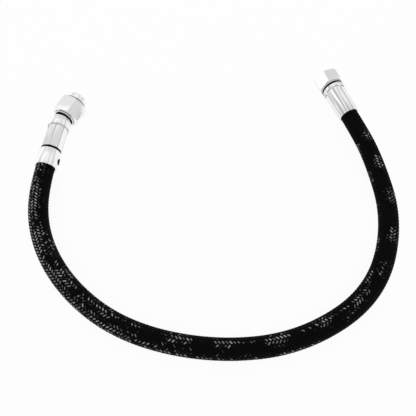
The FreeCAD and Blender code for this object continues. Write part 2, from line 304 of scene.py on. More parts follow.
def feed(tree: Tree, node: Node, feeds: Feeds) -> None:
    """Links inputs of a node, or sets their constant values.

    Args:
        tree: node tree.
        node: node to feed.
        feeds: socket or value for each input, by its name or number.
    """
    for name, value in feeds.items():
        if isinstance(value, Socket):
            tree.links.new(value, node.inputs[name])
        else:
            node.inputs[name].default_value = value


def add_node(tree: Tree, kind: str, feeds: Optional[Feeds] = None, **settings: object) -> Node:
    """Adds a node to a tree.

    Args:
        tree: node tree to add to.
        kind: node type after the word ShaderNode.
        feeds: socket or value for each input, by its name or number.
        settings: properties of the node.

    Returns:
        The new node.
    """
    node = tree.nodes.new("ShaderNode" + kind)
    for name, value in settings.items():
        setattr(node, name, value)
    feed(tree, node, feeds or {})
    return node


def calculate(tree: Tree, operation: str, *values: Feed) -> Socket:
    """Adds a math node, and gives its output.

    Args:
        tree: node tree.
        operation: what the node does.
        values: socket or number for each input.

    Returns:
        Output of the new node.
    """
    return add_node(tree, "Math", dict(enumerate(values)), operation=operation).outputs[0]


def level(
    tree: Tree, value: Feed, low: Feed, high: Feed, bottom: Feed = 0.0, top: Feed = 1.0, kind: str = "LINEAR",
) -> Socket:
    """Adds a map range node, which turns low to high into bottom to top.

    Args:
        tree: node tree.
        value: what is mapped.
        low, high: range of the value.
        bottom, top: range of the result.
        kind: how it is interpolated.

    Returns:
        Result of the new node.
    """
    feeds = {"Value": value, "From Min": low, "From Max": high, "To Min": bottom, "To Max": top}
    return add_node(tree, "MapRange", feeds, interpolation_type=kind).outputs["Result"]


def noise(tree: Tree, vector: Feed, scale: Feed, detail: float, roughness: float = 0.5) -> Socket:
    """Adds a noise texture, and gives its value.

    Args:
        tree: node tree.
        vector: where it is looked up.
        scale: how fine it is.
        detail: number of finer layers.
        roughness: strength of the finer layers.

    Returns:
        Value of the noise.
    """
    feeds = {"Vector": vector, "Scale": scale, "Detail": detail, "Roughness": roughness}
    return add_node(tree, "TexNoise", feeds).outputs["Fac"]


def mixed(tree: Tree, factor: Feed, first: Feed, second: Feed) -> Socket:
    """Mixes two colours, and gives the result.

    Args:
        tree: node tree.
        factor: share of the second colour.
        first, second: sockets or colours.

    Returns:
        The mixed colour.
    """
    feeds = {"Factor": factor, "A": first, "B": second}
    return add_node(tree, "Mix", feeds, data_type="RGBA").outputs["Result"]


def fine_wear_group() -> Tree:
    """Faint smears and polishing ripple that the metals share.

    Returns:
        Node group with Roughness and Height outputs.
    """
    group = ShaderGroup("fine_wear", [
        GroupSocket("Vector", "NodeSocketVector"),
        GroupSocket("Smear Scale", "NodeSocketFloat", default=260.0),
        GroupSocket("Roughness Low", "NodeSocketFloat", default=0.04),
        GroupSocket("Roughness High", "NodeSocketFloat", default=0.12),
        GroupSocket("Roughness", "NodeSocketFloat", incoming=False),
        GroupSocket("Height", "NodeSocketFloat", incoming=False),
    ])
    tree, given = group.tree, group.given
    smear = noise(tree, given["Vector"], given["Smear Scale"], detail=3.0, roughness=0.6)
    ripple = noise(tree, given["Vector"], 900.0, detail=2.0)
    spread = level(tree, smear, 0.35, 0.7, given["Roughness Low"], given["Roughness High"])
    feed(tree, group.result, {"Roughness": spread, "Height": ripple})
    return tree


def fine_grain_group() -> Tree:
    """Matt grain with slight shade changes, shared by rubber and plastic.

    Returns:
        Node group with Shade and Height outputs.
    """
    group = ShaderGroup("fine_grain", [
        GroupSocket("Vector", "NodeSocketVector"),
        GroupSocket("Grain Scale", "NodeSocketFloat", default=1500.0),
        GroupSocket("Dark", "NodeSocketColor", default=(0.01, 0.01, 0.01, 1)),
        GroupSocket("Light", "NodeSocketColor", default=(0.03, 0.03, 0.03, 1)),
        GroupSocket("Shade", "NodeSocketColor", incoming=False),
        GroupSocket("Height", "NodeSocketFloat", incoming=False),
    ])
    tree, given = group.tree, group.given
    grain = noise(tree, given["Vector"], given["Grain Scale"], detail=4.0)
    patch = noise(tree, given["Vector"], 180.0, detail=2.0)
    shade = mixed(tree, patch, given["Dark"], given["Light"])
    feed(tree, group.result, {"Shade": shade, "Height": grain})
    return tree


@dataclass(frozen=True)
class MetalFinish:
    """A polished or turned metal.

    Attributes:
        name: name of the material.
        color: base colour.
        low, high: range of roughness.
        bump: strength of the polishing ripple.
        drawn_along: axis that the crimping dies drew fine lines along, if any.
        shade_and_line_share: share of the colour that stays in the painted shade and on the drawn lines.
        line_scale: fineness of the drawn lines along and across the axis.
        line_depth: how dark the drawn lines are, as a share of the full darkening.
    """

    name: str
    color: tuple[float, float, float]
    low: float
    high: float
    bump: float
    drawn_along: Optional[Axis] = None
    shade_and_line_share: float = 0.06
    line_scale: tuple[float, float, float] = (14.0, 700.0, 700.0)
    line_depth: float = 0.42

    def material(self, wear: Tree) -> bpy.types.Material:
        """Builds the material around the shared wear group.

        Args:
            wear: the group.

        Returns:
            The new material.
        """
        made, tree, shader = new_material(self.name)
        coords = add_node(tree, "TexCoord").outputs["Object"]
        # Painted shade: the attribute darkens faces where they stand in for shade and dark reflections; the
        # drawn lines darken the same way.
        shade_and_line_mask = add_node(tree, "Attribute", attribute_name="paint_shade").outputs["Fac"]
        if self.drawn_along is not None:
            shade_and_line_mask = calculate(tree, "MAXIMUM", shade_and_line_mask, self._drawn_lines(tree, coords))
        shade_and_line_color = [self.shade_and_line_share * value for value in self.color]
        feeds = {"Vector": coords, "Roughness Low": self.low, "Roughness High": self.high}
        worn = add_node(tree, "Group", feeds, node_tree=wear).outputs
        bump = add_node(tree, "Bump", {"Strength": self.bump, "Distance": 0.00002, "Height": worn["Height"]})
        feed(tree, shader, {
            "Base Color": mixed(tree, shade_and_line_mask, (*self.color, 1), (*shade_and_line_color, 1)), "Metallic": 1.0,
            "Roughness": worn["Roughness"], "Normal": bump.outputs["Normal"],
        })
        return made

    def _drawn_lines(self, tree: Tree, coords: Socket) -> Socket:
        """Makes long fine lines that run along a fitting.

        Args:
            tree: node tree.
            coords: object coordinates of the piece.

        Returns:
            Value that is high on the lines.
        """
        origin = [MM * value for value in self.drawn_along.origin]
        turn = (0, 0, math.radians(self.drawn_along.heading))
        feeds = {"Vector": coords, "Location": origin, "Rotation": turn}
        own = add_node(tree, "Mapping", feeds, vector_type="TEXTURE").outputs["Vector"]
        stretched = add_node(tree, "Mapping", {"Vector": own, "Scale": self.line_scale}).outputs["Vector"]
        return level(tree, noise(tree, stretched, 1.0, detail=1.0), 0.46, 0.66, top=self.line_depth)


@dataclass(frozen=True)
class SoftFinish:
    """A rubber or matt plastic.

    Attributes:
        name: name of the material.
        dark, light: the shades that it varies between.
        roughness: roughness of the surface.
        specular: specular level.
    """

    name: str
    dark: tuple[float, float, float]
    light: tuple[float, float, float]
    roughness: float
    specular: float

    def material(self, grain: Tree) -> bpy.types.Material:
        """Builds the material around the shared grain group.

        Args:
            grain: the group.

        Returns:
            The new material.
        """
        made, tree, shader = new_material(self.name)
        coords = add_node(tree, "TexCoord").outputs["Object"]
        feeds = {"Vector": coords, "Dark": (*self.dark, 1), "Light": (*self.light, 1)}
        matt = add_node(tree, "Group", feeds, node_tree=grain).outputs
        bump = add_node(tree, "Bump", {"Strength": 0.25, "Distance": 0.00003, "Height": matt["Height"]})
        feed(tree, shader, {
            "Base Color": matt["Shade"], "Roughness": self.roughness,
            "Specular IOR Level": self.specular, "Normal": bump.outputs["Normal"],
        })
        return made


@dataclass(frozen=True)
class BraidFinish:
    """Black textile plaits, each of several yarns, with painted grey highlights where the yarns stand up, under
    a clear coat that reflects the lamps there.

    Attributes:
        name: name of the material.
        yarn: colour in the dark stretches.
        glint: painted highlight colour that the yarns take in a glint.
        yarns: yarns side by side in one plait.
        density: how much a full glint adds to the noise that picks the yarns.
        threshold: value from which a yarn is picked.
        picked_range: rise of that value over which it becomes fully bright.
        twist_scale, twist_turn: size and slant of the yarns' twist on the UV map.
        twist_height: height of the twist beside the height of a yarn.
        stroke_scale: size of the pale strokes on the UV map.
        groove_light: share of a glint that stays in the groove between two yarns.
        lift_range: values of the lift attribute between which a crown begins.
        crown_range: distances from a plait's middle at which a crown ends and is full.
    """

    name: str = "textile_braid"
    yarn: tuple[float, float, float] = (0.0040, 0.0038, 0.0043)
    glint: tuple[float, float, float] = (0.50, 0.50, 0.52)
    yarns: int = 3
    density: float = 0.26
    threshold: float = 0.58
    picked_range: float = 0.28
    twist_scale: tuple[float, float, float] = (55.0, 9.0, 1.0)
    twist_turn: float = 0.35
    twist_height: float = 0.35
    stroke_scale: tuple[float, float, float] = (3.6, 0.9, 1.0)
    groove_light: float = 0.45
    lift_range: tuple[float, float] = (0.3, 0.95)
    crown_range: tuple[float, float] = (0.31, 0.06)

    def material(self) -> bpy.types.Material:
        """Builds the material from each plait's own UV map, glint and lift.

        Returns:
            The new material.
        """
        made, tree, shader = new_material(self.name)
        uv = add_node(tree, "UVMap", uv_map="plait").outputs["UV"]
        across = add_node(tree, "SeparateXYZ", {"Vector": uv}).outputs["Y"]
        wave = calculate(tree, "SINE", calculate(tree, "MULTIPLY", across, self.yarns * math.pi))
        ridge = calculate(tree, "ABSOLUTE", wave)
        feeds = {"Vector": uv, "Scale": self.twist_scale, "Rotation": (0, 0, self.twist_turn)}
        twist = noise(tree, add_node(tree, "Mapping", feeds).outputs["Vector"], 1.0, detail=2.0)
        height = calculate(tree, "MULTIPLY_ADD", twist, self.twist_height, ridge)
        bump = add_node(tree, "Bump", {"Strength": 0.8, "Distance": 0.00012, "Height": height})
        crest = self._sparkle(tree, uv, across, ridge)
        # Painted highlight: the picked crests take the pale glint colour as base colour; the coat on them adds
        # a real reflection of the lamps.
        feed(tree, shader, {
            "Base Color": mixed(tree, crest, (*self.yarn, 1), (*self.glint, 1)), "Roughness": 0.55,
            "Specular IOR Level": 0.02, "Coat Weight": crest, "Coat Roughness": 0.35,
            "Normal": bump.outputs["Normal"],
        })
        return made

    def _sparkle(self, tree: Tree, uv: Socket, across: Socket, ridge: Socket) -> Socket:
        """Picks the crowns of the plaits that get the painted highlight, more of them where the glint attribute
        is high.

        Args:
            tree: node tree.
            uv: UV map of the plaits.
            across: place across a plait, from 0 to 1.
            ridge: height of the yarns across a plait.

        Returns:
            Value that is 1 on those yarns.
        """
        glint = add_node(tree, "Attribute", attribute_name="glint").outputs["Fac"]
        strokes = add_node(tree, "Mapping", {"Vector": uv, "Scale": self.stroke_scale}).outputs["Vector"]
        speck = noise(tree, strokes, 1.0, detail=1.0)
        lifted = calculate(tree, "MULTIPLY_ADD", glint, self.density, speck)
        lively = level(tree, lifted, self.threshold, self.threshold + self.picked_range)
        crest = calculate(tree, "MINIMUM", calculate(tree, "MULTIPLY", glint, 4.0), 1.0)
        for factor in (lively, level(tree, ridge, 0.0, 1.0, self.groove_light), self._crown(tree, across)):
            crest = calculate(tree, "MULTIPLY", crest, factor)
        return crest

    def _crown(self, tree: Tree, across: Socket) -> Socket:
        """Is high on the crown of each float, the part of a plait that lies over the others.

        Args:
            tree: node tree.
            across: place across a plait, from 0 to 1.

        Returns:
            Value that is 1 on the crowns.
        """
        lift = add_node(tree, "Attribute", attribute_name="lift").outputs["Fac"]
        top = level(tree, lift, *self.lift_range, kind="SMOOTHSTEP")
        off_middle = calculate(tree, "ABSOLUTE", calculate(tree, "SUBTRACT", across, 0.5))
        return calculate(tree, "MULTIPLY", top, level(tree, off_middle, *self.crown_range, kind="SMOOTHSTEP"))


def new_material(name: str) -> tuple[bpy.types.Material, Tree, Node]:
    """Makes a material with nodes.

    Args:
        name: name of the material.

    Returns:
        The material, its node tree and its main shader.
    """
    made = bpy.data.materials.new(name)
    made.use_nodes = True
    return made, made.node_tree, made.node_tree.nodes["Principled BSDF"]


class Finishes:
    """All materials of the hose, by slot."""

    def __init__(self) -> None:
        """Builds the shared groups, then each material."""
        self.wear = fine_wear_group()
        grain = fine_grain_group()
        self.chrome = MetalFinish("bright_chrome", (0.90, 0.905, 0.905), 0.10, 0.18, 0.02)
        steel = MetalFinish("turned_steel", (0.52, 0.52, 0.51), 0.22, 0.38, 0.35)
        rubber = SoftFinish("black_rubber", (0.002, 0.002, 0.002), (0.006, 0.006, 0.006), 0.5, 0.06)
        liner = SoftFinish("liner_rubber", (0.010, 0.010, 0.010), (0.03, 0.03, 0.03), 0.6, 0.2)
        plastic = SoftFinish("black_plastic", (0.003, 0.003, 0.003), (0.008, 0.008, 0.008), 0.4, 0.15)
        self.by_slot = {
            Slot.CHROME: self.chrome.material(self.wear), Slot.STEEL: steel.material(self.wear),
            Slot.RUBBER: rubber.material(grain), Slot.LINER: liner.material(grain),
            Slot.PLASTIC: plastic.material(grain), Slot.BRAID: BraidFinish().material(),
        }

    def dress(self, piece: Piece, slot: Slot) -> None:
        """Gives a piece one finish all over.

        Args:
            piece: object to dress.
            slot: slot whose finish it takes.
        """
        piece.data.materials.clear()
        piece.data.materials.append(self.by_slot[slot])
        for polygon in piece.data.polygons:
            polygon.material_index = 0

    def draw_lines(self, piece: Piece, axis: Axis) -> None:
        """Swaps a piece's chrome for chrome with fine lines along an axis.

        Args:
            piece: the piece.
            axis: line that the dies were drawn along.
        """
        lined = replace(self.chrome, name="drawn_chrome", drawn_along=axis)
        piece.data.materials[0] = lined.material(self.wear)

    def finish(self, piece: Piece, slot: Slot, body: Body, node: str) -> None:
        """Dresses a new piece, hangs it on its body and lets it stand for its CAD node.

        Args:
            piece: the new piece.
            slot: slot that it takes its finish from.
            body: body that it rides on.
            node: CAD node that it replaces.
        """
        self.dress(piece, slot)
        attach(piece, body.value)
        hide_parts(node)
        LOG.info("%s: %d faces on %s", piece.name, len(piece.data.polygons), body.value)


@dataclass
class HoseLine:
    """Centreline of the hose: a smooth spline through given control points.

    Attributes:
        points: control points in metres, from the swivel's crimp to the union nut's crimp.
    """

    points: tuple[Place, ...] = (
        (-0.1272, 0.0518, 0.0100),
        (-0.1322, 0.0086, 0.01035),
        (-0.1256, -0.0350, 0.0074),
        (-0.0989, -0.0736, 0.0070),
        (-0.0569, -0.1021, 0.0070),
        (0.0006, -0.1141, 0.0070),
        (0.0576, -0.1081, 0.0070),
        (0.1096, -0.0771, 0.0070),
        (0.1326, -0.0236, 0.0070),
        (0.1289, 0.0319, 0.0075),
        (0.1184, 0.0659, 0.0098),
        (0.1080, 0.0984, 0.0095),
    )
    steps_per_point: int = 64
    line: np.ndarray = field(init=False)
    along: np.ndarray = field(init=False)
    tangent: np.ndarray = field(init=False)
    side: np.ndarray = field(init=False)
    up: np.ndarray = field(init=False)

    def __post_init__(self) -> None:
        """Reads the spline's points and works out a frame that doesn't twist along it."""
        curve = bpy.data.curves.new("hose_route", "CURVE")
        curve.dimensions = "3D"
        curve.resolution_u = self.steps_per_point
        spline = curve.splines.new("NURBS")
        spline.points.add(len(self.points) - 1)
        for control, spot in zip(spline.points, self.points):
            control.co = (*spot, 1)
        spline.order_u = 3
        spline.use_endpoint_u = True
        holder = bpy.data.objects.new("hose_route", curve)
        bpy.context.scene.collection.objects.link(holder)
        bpy.context.view_layer.update()
        mesh = bpy.data.meshes.new_from_object(holder)
        self.line = np.array([vertex.co for vertex in mesh.vertices], float)
        bpy.data.objects.remove(holder, do_unlink=True)
        bpy.data.meshes.remove(mesh)
        steps = np.linalg.norm(np.diff(self.line, axis=0), axis=1)
        self.along = np.concatenate([[0], np.cumsum(steps)])
        tangent = np.gradient(self.line, axis=0)
        self.tangent = tangent / np.linalg.norm(tangent, axis=1)[:, None]
        vertical = np.array([0.0, 0.0, 1.0])
        side = np.cross(self.tangent, vertical)
        self.side = side / np.linalg.norm(side, axis=1)[:, None]
        self.up = np.cross(self.side, self.tangent)

    @property
    def length(self) -> float:
        """Length between the hose's cut ends, in metres."""
        return float(self.along[-1])

    def at(self, distance: np.ndarray) -> tuple[np.ndarray, np.ndarray, np.ndarray]:
        """Centre, side and up directions at distances along the line.

        Args:
            distance: distances from the swivel's end, in metres.

        Returns:
            Three arrays of vectors.
        """
        parts = []
        for values in (self.line, self.side, self.up):
            parts.append(np.stack([np.interp(distance, self.along, values[:, i]) for i in range(3)], axis=1))
        return parts[0], parts[1], parts[2]


@dataclass
class HoseBody:
    """The hose between its cut ends: a rubber tube under a woven cover.

    Attributes are in millimetres. Those of the weave are:
        lay_length: length of one turn of a plait round the hose.
        plait_section: share of the half width and of the crown for each corner of a plait's section.
        float_period: crossings until the pattern of a plait repeats, two over and two under.
        float_turn: how softly a plait dips, where 0 is a sudden step.
        float_spread: share by which a plait is wider on top than below.
        strand_shift, weave_shift: shifts of the UV maps, so that no two plaits look alike.
        glint_middles: middles of the painted highlight patches, from the mouth of the union's ferrule.
    """

    route: HoseLine
    finishes: Finishes
    outer_radius: float = 7.0
    liner_radius: float = 6.05
    bore_radius: float = 3.25
    squeeze: float = 0.6
    swivel_crimp: float = 12.6
    union_crimp: float = 16.6
    crimp_taper: float = 2.0
    plaits_each_way: int = 16
    lay_length: float = 39.6
    plait_half_width: float = 0.99
    plait_crown: float = 0.26
    plait_wave: float = 0.24
    plait_section: tuple[tuple[float, float], ...] = (
        (-1.0, -0.12), (-0.55, 0.68), (0.0, 1.0), (0.55, 0.68), (1.0, -0.12), (0.0, -0.55),
    )
    float_period: int = 4
    float_turn: float = 0.12
    float_spread: float = 0.10
    strand_shift: float = 7.3
    weave_shift: float = 3.1
    steps_per_crossing: int = 3
    union_hose_end: float = 26.8
    glint_middles: tuple[float, ...] = (
        -6, 25, 50, 81, 111, 139, 166, 199, 232, 266, 290, 354, 385, 416, 454, 486,
    )
    liner_step: float = 2.0
    liner_sides: int = 64
    halves: int = 2

    def squeeze_at(self, along: np.ndarray) -> np.ndarray:
        """How far the crimps press the hose in.

        Args:
            along: distances from the swivel's end, in millimetres.

        Returns:
            Depths in millimetres.
        """
        total = self.route.length / MM
        start = np.clip((self.swivel_crimp + self.crimp_taper - along) / self.crimp_taper, 0, 1)
        end = np.clip((along - (total - self.union_crimp - self.crimp_taper)) / self.crimp_taper, 0, 1)
        return self.squeeze * np.maximum(start, end)

    def build_liner(self) -> Piece:
        """Makes the rubber tube, with its bore and both cut ends.

        Returns:
            The finished piece.
        """
        total = self.route.length / MM
        count = int(total / self.liner_step)
        along = np.linspace(0, total, count)
        centre, side, up = self.route.at(along * MM)
        angles = np.linspace(0, 2 * math.pi, self.liner_sides, endpoint=False)
        out = side[:, None] * np.cos(angles)[:, None] + up[:, None] * np.sin(angles)[:, None]
        outer = self.liner_radius - self.squeeze_at(along)
        inner = np.full(count, self.bore_radius)
        rings = [centre[:, None] + out * (radius * MM)[:, None, None] for radius in (outer, inner)]
        here = np.arange(self.liner_sides)
        beside = (here + 1) % self.liner_sides
        to_bore = count * self.liner_sides
        last = to_bore - self.liner_sides
        faces = [
            np.stack([here, beside, beside + to_bore, here + to_bore], axis=1),
            np.stack([beside, here, here + to_bore, beside + to_bore], axis=1) + last,
        ]
        for start in range(0, last, self.liner_sides):
            ahead = start + self.liner_sides
            wall = np.stack([here + start, here + ahead, beside + ahead, beside + start], axis=1)
            faces += [wall, wall[:, ::-1] + to_bore]
        places = np.concatenate([ring.reshape(-1, 3) for ring in rings])
        piece = mesh_piece("hose_tube", places, np.concatenate(faces))
        clean(piece)
        bpy.ops.object.shade_smooth_by_angle(angle=math.radians(40))
        self.finishes.finish(piece, Slot.LINER, Body.HOSE, "hose_liner")
        return piece

    def glint_at(self, along: np.ndarray, angle: np.ndarray) -> np.ndarray:
        """How much painted highlight the yarns take, from 0 to 1.

        Args:
            along: distances from the swivel's end, in millimetres.
            angle: angles round the hose, in radians.

        Returns:
            One value for each place.
        """
        from_mouth = self.route.length / MM - along - self.union_hose_end
        # The painted highlights follow the side that faces the camera, which turns along the hose, most where
        # the hose is nearest to it.
        facing = np.radians(118 - 33 * np.exp(-((from_mouth - 240) / 115) ** 2))
        across = np.sin(angle - facing)
        phase = np.interp(from_mouth, self.glint_middles, np.arange(len(self.glint_middles))) + 0.05 * across
        # Painted highlight patches in a row, which wander across the hose and grow wider towards the swivel.
        middle = -0.45 + 0.85 * ramp(from_mouth, 95, 205) - 0.55 * ramp(from_mouth, 300, 390)
        spread = 0.34 + 0.45 * ramp(from_mouth, 310, 400)
        patches = ramp(np.cos(2 * math.pi * phase), -0.2, 0.8) * np.exp(-((across - middle) / spread) ** 2)
        # A thin painted highlight line joins them. A second row crosses the hose and then runs together.
        line = 0.45 * ramp(from_mouth, 150, 190) * np.exp(-((across - middle - 0.1) / 0.1) ** 2)
        edge = 0.92 - 1.85 * ramp(from_mouth, 130, 210)
        steady = 0.7 * ramp(from_mouth, 195, 235)
        second = steady + (1 - steady) * ramp(np.cos(2 * math.pi * (phase - 0.4)), -0.2, 0.7)
        second = second * np.exp(-((across - edge) / 0.2) ** 2)
        # Towards the swivel a thin scatter of painted highlight covers the hose, apart from the inside of the
        # bend.
        scatter = 0.2 * ramp(from_mouth, 290, 350)
        scatter = scatter + (0.2 + 0.15 * ramp(-across, 0.0, 0.4)) * ramp(from_mouth, 340, 420)
        scatter = scatter * (0.75 + 0.25 * np.cos(2 * math.pi * phase))
        scatter = scatter + 0.2 * ramp(from_mouth, 235, 290) * ramp(-across, 0.1, 0.5)
        inside_bend = ramp(across, -0.3, 0.15) * ramp(from_mouth, 385, 440)
        shown = (1 - 0.5 * ramp(from_mouth, 290, 360)) * patches + 0.65 * second + line + scatter
        return np.clip(shown * ramp(from_mouth, 6, 20) * (1 - 0.9 * inside_bend), 0, 1)

    def build_plaits(self, weave: Weave, half: int) -> Piece:
        """Makes half of the plaits that wind one way, over two and under two of the others.

        Args:
            weave: way in which they wind.
            half: which half of them, 0 or 1.

        Returns:
            The finished piece.
        """
        total = self.route.length / MM
        per_mm = 2 * self.plaits_each_way / self.lay_length
        count = int(total * per_mm * self.steps_per_crossing) + 1
        along = np.linspace(0, total, count)
        crossing = along * per_mm
        helix = math.atan2(2 * math.pi * self.outer_radius, self.lay_length)
        clockwise = weave is Weave.CLOCKWISE
        places, uvs, glints, lifts = [], [], [], []
        for index in range(half, self.plaits_each_way, self.halves):
            phase = np.mod(2 * index + weave.value * crossing, self.float_period)
            wave = np.cos(2 * math.pi * (phase - 0.5) / self.float_period) * weave.value
            swing = wave / np.sqrt(wave ** 2 + self.float_turn) * math.sqrt(1 + self.float_turn)
            radius = self.outer_radius - self.plait_crown - self.plait_wave + self.plait_wave * swing
            radius = radius - self.squeeze_at(along)
            turn = 2 * math.pi * (index / self.plaits_each_way + weave.value * along / self.lay_length)
            width = self.plait_half_width * (1 + self.float_spread * swing)
            uv_along = along / UV_LENGTH + self.strand_shift * index + (0 if clockwise else self.weave_shift)
            for share, rise in self.plait_section:
                reach = share * width
                angle = turn + weave.value * -reach * math.cos(helix) / self.outer_radius
                shifted = along + reach * math.sin(helix)
                centre, side, up = self.route.at(np.clip(shifted, 0, total) * MM)
                out = side * np.cos(angle)[:, None] + up * np.sin(angle)[:, None]
                places.append(centre + out * ((radius + rise * self.plait_crown) * MM)[:, None])
                uvs.append(np.stack([uv_along, np.full(count, 0.5 + share / 2)], axis=1))
                glints.append(self.glint_at(shifted, angle))
                lifts.append(wave)
        columns = len(self.plait_section)
        faces = self._plait_faces(len(places) // columns, columns, count)
        piece = mesh_piece(f"braid_{weave.name.lower()}_{half + 1}", np.concatenate(places), faces)
        data = {"glint": np.concatenate(glints), "lift": np.concatenate(lifts)}
        self._write_plait_data(piece, np.concatenate(uvs), **data)
        piece.data.shade_smooth()
        return piece

    @staticmethod
    def _plait_faces(strands: int, columns: int, count: int) -> np.ndarray:
        """Quads of closed ribbons whose points are stored column by column.

        Args:
            strands: number of ribbons.
            columns: points round each ribbon's section.
            count: points along each ribbon.

        Returns:
            Array of quads.
        """
        step = np.arange(count - 1)
        quads = []
        for strand in range(strands):
            base = strand * columns * count
            for column in range(columns):
                a = base + column * count
                b = base + ((column + 1) % columns) * count
                quads.append(np.stack([a + step, a + step + 1, b + step + 1, b + step], axis=1))
            corner = base + np.arange(columns) * count
            for end, turn in ((corner, 1), (corner + count - 1, -1)):
                quads.append(np.array([end[[0, 1, 2, 5]][::turn], end[[2, 3, 4, 5]][::turn]]))
        return np.concatenate(quads)

    @staticmethod
    def _write_plait_data(piece: Piece, uvs: np.ndarray, **attributes: np.ndarray) -> None:
        """Stores the ribbons' UV map and attributes, all by vertex.

        Args:
            piece: the plaits.
            uvs: place along and across a plait for each vertex.
            attributes: values for each vertex.
        """
        mesh = piece.data
        corner_vertex = np.zeros(len(mesh.loops), np.int32)
        mesh.loops.foreach_get("vertex_index", corner_vertex)
        layer = mesh.uv_layers.new(name="plait")
        layer.data.foreach_set("uv", uvs[corner_vertex].astype(np.float32).ravel())
        for name, values in attributes.items():
            attribute = mesh.attributes.new(name, "FLOAT", "POINT")
            attribute.data.foreach_set("value", values.astype(np.float32))

    def build(self) -> list[Piece]:
        """Makes the tube and the woven cover.

        Returns:
            All pieces of the hose, the tube first.
        """
        liner = self.build_liner()
        plaits = [self.build_plaits(weave, half) for weave in Weave for half in range(self.halves)]
        for piece in plaits:
            clean(piece)
            self.finishes.finish(piece, Slot.BRAID, Body.HOSE, "hose_braid")
        return [liner] + plaits


def ramp(values: np.ndarray, low: float, high: float) -> np.ndarray:
    """Smooth step from 0 at the low value to 1 at the high one."""
    share = np.clip((values - low) / (high - low), 0, 1)
    return share * share * (3 - 2 * share)


def mesh_piece(name: str, places: np.ndarray, faces: Sequence) -> Piece:
    """Makes an object at the origin from places and faces.

    Args:
        name: name of the object.
        places: vertex places, in metres.
        faces: vertex numbers of each face.

    Returns:
        The new object.
    """
    mesh = bpy.data.meshes.new(name)
    mesh.from_pydata(np.asarray(places).tolist(), [], np.asarray(faces).tolist())
    mesh.update()
    piece = bpy.data.objects.new(name, mesh)
    bpy.context.scene.collection.objects.link(piece)
    return piece


@dataclass(frozen=True)
class Thread:
    """An internal pipe thread.

    Attributes are in millimetres. The ridge's foot is sunk into the wall of the hole.
    """

    crest_radius: float
    root_radius: float
    pitch: float
    start: float
    end: float
    crest_half: float = 0.08
    foot_share: float = 0.46
    sunk: float = 0.05
    steps: int = 72

    def build(self, name: str) -> Piece:
        """Winds the ridge of the thread as a helix inside a hole.

        Args:
            name: name of the new object.

        Returns:
            The ridge, in local millimetres.
        """
        deselect_all()
        turns = int((self.end - self.start) / self.pitch)
        bpy.ops.mesh.primitive_circle_add(vertices=4, radius=1)
        ridge = bpy.context.object
        ridge.name = name
        foot, half_foot = self.root_radius + self.sunk, self.foot_share * self.pitch
        corners = [
            (self.crest_radius, -self.crest_half), (self.crest_radius, self.crest_half),
            (foot, half_foot), (foot, -half_foot),
        ]
        for vertex, (radius, offset) in zip(ridge.data.vertices, corners):
            vertex.co = (radius, 0, self.start + 0.5 * self.pitch + offset)
        apply_modifier(
            ridge, "SCREW", axis="Z", angle=2 * math.pi, screw_offset=self.pitch, steps=self.steps,
            render_steps=self.steps, iterations=turns, use_merge_vertices=False, use_smooth_shade=False,
        )
        clean(ridge, merge=WELD, fill=True)
        return ridge


def jaw_tool(apothem: float, half_width: float, start: float, end: float, rise: float, scoop: float) -> Piece:
    """Shapes one crimp jaw: a flat bar with a round end and a scooped edge.

    Args:
        apothem: distance of its flat from the axis at its start.
        half_width: half of its width.
        start: first station.
        end: station of the round end's tip.
        rise: how much further out the flat lies at the tip.
        scoop: size of the scooped edge.

    Returns:
        The tool, in local millimetres, at angle 0.
    """
    thickness = 5
    hair = 0.01
    deselect_all()
    bpy.ops.mesh.primitive_plane_add(size=1)
    tool = bpy.context.object
    for vertex in tool.data.vertices:
        station = end if vertex.co.x > 0 else start
        vertex.co = (apothem, math.copysign(half_width, vertex.co.y), station)
    bpy.ops.object.mode_set(mode="EDIT")
    select_by(tool, lambda spot: spot.z > end - hair, "VERT")
    bpy.ops.mesh.bevel(offset=half_width * 0.999, segments=12, profile=0.5, affect="VERTICES")
    bpy.ops.mesh.select_all(action="SELECT")
    bpy.ops.mesh.remove_doubles(threshold=1e-3)
    bpy.ops.mesh.extrude_region_move(TRANSFORM_OT_translate={"value": (thickness, 0, 0)})
    select_by(tool, lambda spot: spot.x < apothem + hair and spot.z > start + hair, "EDGE")
    bpy.ops.mesh.bevel(offset=scoop, segments=5, profile=0.5, affect="EDGES")
    clean(tool)
    lean = math.atan2(rise, end - start)
    pivot = Vector((apothem, 0, start))
    tool.data.transform(Matrix.Translation(pivot) @ Matrix.Rotation(lean, 4, "Y") @ Matrix.Translation(-pivot))
    return tool


def press_jaws(piece: Piece, tool: Piece, count: int, first_ridge: float) -> None:
    """Presses a ring of jaws into a ferrule.

    Args:
        piece: the ferrule.
        tool: one jaw at angle 0, used up.
        count: number of jaws.
        first_ridge: angle of the first ridge between two jaws, in degrees.
    """
    step = 360 / count
    copies = []
    for index in range(count):
        copy = tool.copy()
        copy.data = tool.data.copy()
        bpy.context.scene.collection.objects.link(copy)
        copy.data.transform(Matrix.Rotation(math.radians(first_ridge + step * (index + 0.5)), 4, "Z"))
        copies.append(copy)
    bpy.data.objects.remove(tool, do_unlink=True)
    for copy in copies:
        cut(piece, copy)
    clean(piece, merge=SLIVER)


